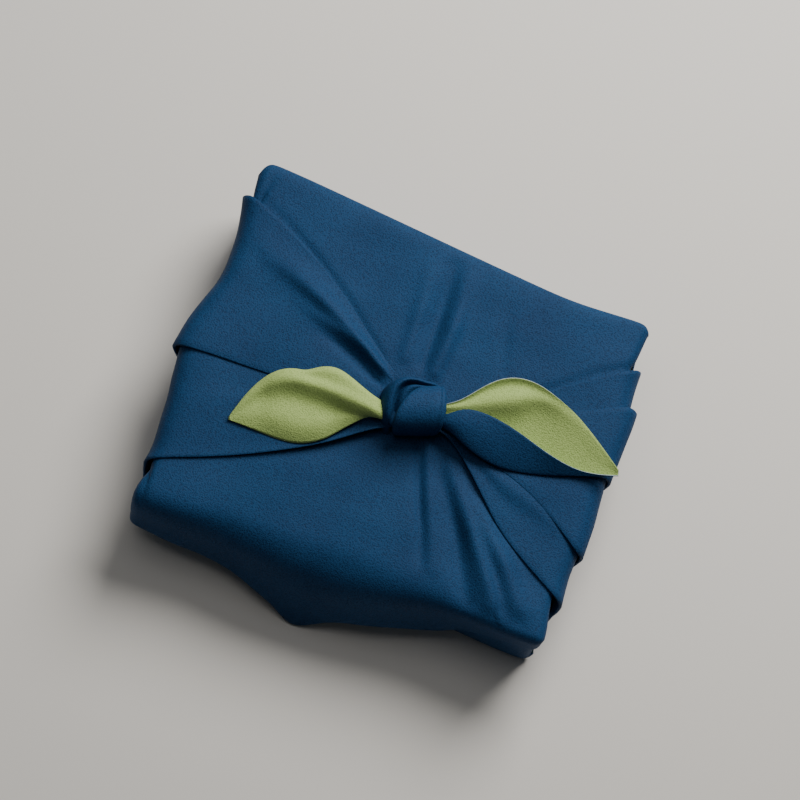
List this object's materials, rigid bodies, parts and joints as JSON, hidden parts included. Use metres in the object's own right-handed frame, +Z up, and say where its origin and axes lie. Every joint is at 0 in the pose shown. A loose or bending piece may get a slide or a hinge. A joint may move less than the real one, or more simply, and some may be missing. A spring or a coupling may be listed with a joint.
{
  "type": "furoshiki wrap tied round a box",
  "caption": "Square wrapping cloth folded round a flat rectangular box, its side corners pleated, drawn over the top and tied in a square knot with leaf-shaped free ends.",
  "frame": {"origin": "on the floor, under the middle of the wrapped box", "axes": "+X to the right along the box's long side, -Y towards the hanging corner of the cloth, +Z up"},
  "size_m": [0.2852, 0.2595, 0.0906],
  "materials": {
    "cloth": "deep blue crepe satin with a fine pebble grain, olive green matt reverse",
    "box": "plain card, hidden"
  },
  "bodies": {
    "root": {"cloth": "cloth", "box": "box"}
  },
  "joints": []
}
